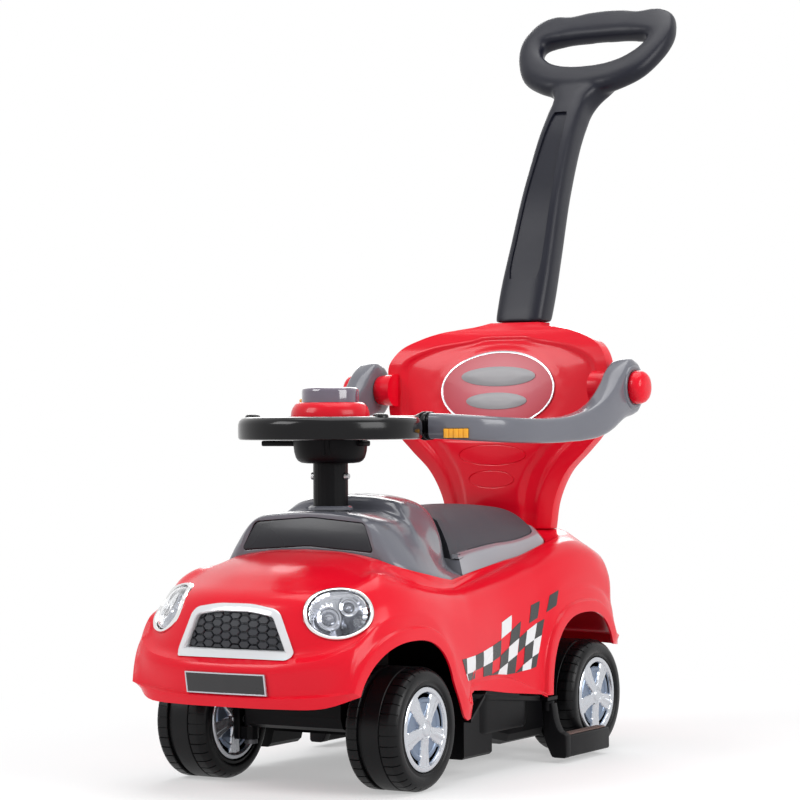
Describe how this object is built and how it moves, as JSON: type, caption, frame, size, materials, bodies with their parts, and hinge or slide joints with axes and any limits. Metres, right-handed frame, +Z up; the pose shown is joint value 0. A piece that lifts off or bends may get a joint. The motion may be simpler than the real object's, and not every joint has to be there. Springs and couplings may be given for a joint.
{
  "type": "ride-on push car",
  "caption": "Ride-on toy car for a small child: moulded body on spoked wheels, steering wheel, lift-up guard ring, backrest, folding steps and a tall push handle.",
  "frame": {"origin": "on the floor under the middle of the car's outline", "axes": "+Z up, the bonnet faces -Y, +X towards the car's own left side"},
  "size_m": [0.423, 0.9265, 0.9462],
  "materials": {
    "red_body": "bright red, high gloss",
    "grey_gloss": "blue-grey, glossy",
    "dark_grey": "charcoal, satin",
    "black_plastic": "black, satin moulded",
    "black_gloss": "black, glossy",
    "tyre_plastic": "black, hard moulded tyre with tread",
    "wheel_silver": "silver lacquer over plastic",
    "bright_trim": "vacuum-plated plastic trim",
    "lamp_lens": "clear lens",
    "seat_plastic": "dark grey, fine matte grain",
    "windscreen": "near black, glossy",
    "plate": "dark plate with a thin silver border, bare",
    "steel": "plain steel",
    "dark_steel": "blackened steel",
    "orange_key": "orange, glossy",
    "horn_key": "smoky violet-grey, glossy",
    "badge": "smoky red oval, bare",
    "grip_strip": "brown non-slip strip"
  },
  "bodies": {
    "car": {"body_shell": "red_body", "chassis": "black_plastic", "headlight_bezel_left": "bright_trim", "headlight_bezel_right": "bright_trim", "headlight_lens_left": "lamp_lens", "headlight_lens_right": "lamp_lens", "headlight_reflector_left": "bright_trim", "headlight_reflector_right": "bright_trim", "grille_bezel": "bright_trim", "grille_mesh": "black_plastic", "number_plate": "plate", "cowl_cover": "grey_gloss", "windscreen_panel": "windscreen", "column_collar": "grey_gloss", "seat_lid": "grey_gloss", "seat_pad": "seat_plastic", "kingpin_left": "dark_steel", "kingpin_right": "dark_steel", "rear_axle": "steel", "backrest": "red_body", "backrest_badge": "badge", "badge_ring": "bright_trim", "push_handle": "dark_grey"},
    "steering": {"steering_column": "black_gloss", "column_bolt": "steel", "steering_wheel": "black_gloss", "hub_bowl": "black_gloss", "hub_dome": "red_body"},
    "horn": {"horn_cap": "horn_key"},
    "melody_key": {"melody_button": "orange_key"},
    "track_rod": {"tie_rod": "steel"},
    "knuckle_left": {"steering_knuckle_left": "black_plastic", "stub_axle_left": "steel"},
    "knuckle_right": {"steering_knuckle_right": "black_plastic", "stub_axle_right": "steel"},
    "front_left_wheel": {"wheel_front_left": "tyre_plastic", "wheel_cover_front_left_outer": "wheel_silver", "wheel_cover_front_left_inner": "wheel_silver"},
    "front_right_wheel": {"wheel_front_right": "tyre_plastic", "wheel_cover_front_right_outer": "wheel_silver", "wheel_cover_front_right_inner": "wheel_silver"},
    "rear_left_wheel": {"wheel_rear_left": "tyre_plastic", "wheel_cover_rear_left_outer": "wheel_silver"},
    "rear_right_wheel": {"wheel_rear_right": "tyre_plastic", "wheel_cover_rear_right_outer": "wheel_silver"},
    "guard": {"guard_arm_left": "grey_gloss", "guard_arm_right": "grey_gloss", "guard_front_bar": "black_gloss", "guard_cap_left": "red_body", "guard_cap_right": "red_body"},
    "release_left": {"guard_button_left": "orange_key"},
    "release_right": {"guard_button_right": "orange_key"},
    "step_left": {"footrest_left": "black_plastic", "footrest_tread_left": "grip_strip"},
    "step_right": {"footrest_right": "black_plastic", "footrest_tread_right": "grip_strip"}
  },
  "joints": [
    {"name": "steering_turn", "type": "hinge", "parent": "car", "child": "steering", "pos_m": [0, -0.251, 0.25], "axis": [0, 0, 1], "range_deg": [-15, 15]},
    {"name": "knuckle_left_turn", "type": "hinge", "parent": "car", "child": "knuckle_left", "pos_m": [0.072, -0.306, 0.08], "axis": [0, 0, 1], "range_deg": [-15, 15]},
    {"name": "knuckle_right_turn", "type": "hinge", "parent": "car", "child": "knuckle_right", "pos_m": [-0.072, -0.306, 0.08], "axis": [0, 0, 1], "range_deg": [-15, 15]},
    {"name": "track_rod_shift", "type": "slide", "parent": "car", "child": "track_rod", "axis": [1, 0, 0], "range_m": [-0.008, 0.008]},
    {"name": "front_left_spin", "type": "hinge", "parent": "knuckle_left", "child": "front_left_wheel", "pos_m": [0.12275, -0.306, 0.067], "axis": [1, 0, 0], "continuous": true},
    {"name": "front_right_spin", "type": "hinge", "parent": "knuckle_right", "child": "front_right_wheel", "pos_m": [-0.12275, -0.306, 0.067], "axis": [1, 0, 0], "continuous": true},
    {"name": "rear_left_spin", "type": "hinge", "parent": "car", "child": "rear_left_wheel", "pos_m": [0.12275, 0.101, 0.067], "axis": [1, 0, 0], "continuous": true},
    {"name": "rear_right_spin", "type": "hinge", "parent": "car", "child": "rear_right_wheel", "pos_m": [-0.12275, 0.101, 0.067], "axis": [1, 0, 0], "continuous": true},
    {"name": "horn_press", "type": "slide", "parent": "steering", "child": "horn", "axis": [0, 0, -1], "range_m": [0, 0.003], "stiffness_N_per_m": 600, "springref_m": -0.001},
    {"name": "melody_press", "type": "slide", "parent": "steering", "child": "melody_key", "axis": [0, 0, -1], "range_m": [0, 0.0025], "stiffness_N_per_m": 300, "springref_m": -0.0005},
    {"name": "guard_lift", "type": "hinge", "parent": "car", "child": "guard", "pos_m": [0, 0.127, 0.4362], "axis": [-1, 0, 0], "range_deg": [0, 95]},
    {"name": "release_left_press", "type": "slide", "parent": "guard", "child": "release_left", "axis": [-0.4115, 0.9114, 0], "range_m": [0, 0.002], "stiffness_N_per_m": 300, "springref_m": -0.0005},
    {"name": "release_right_press", "type": "slide", "parent": "guard", "child": "release_right", "axis": [0.4115, 0.9114, 0], "range_m": [0, 0.002], "stiffness_N_per_m": 300, "springref_m": -0.0005},
    {"name": "step_left_swing", "type": "hinge", "parent": "car", "child": "step_left", "pos_m": [0.15, -0.018, 0.07], "axis": [0, 0, -1], "range_deg": [0, 90]},
    {"name": "step_right_swing", "type": "hinge", "parent": "car", "child": "step_right", "pos_m": [-0.15, -0.018, 0.07], "axis": [0, 0, 1], "range_deg": [0, 90]}
  ],
  "couplings": [
    {"joint": "knuckle_left_turn", "follows": "steering_turn", "ratio": 1},
    {"joint": "knuckle_right_turn", "follows": "steering_turn", "ratio": 1},
    {"joint": "track_rod_shift", "follows": "steering_turn", "m_per_rad": 0.03}
  ]
}
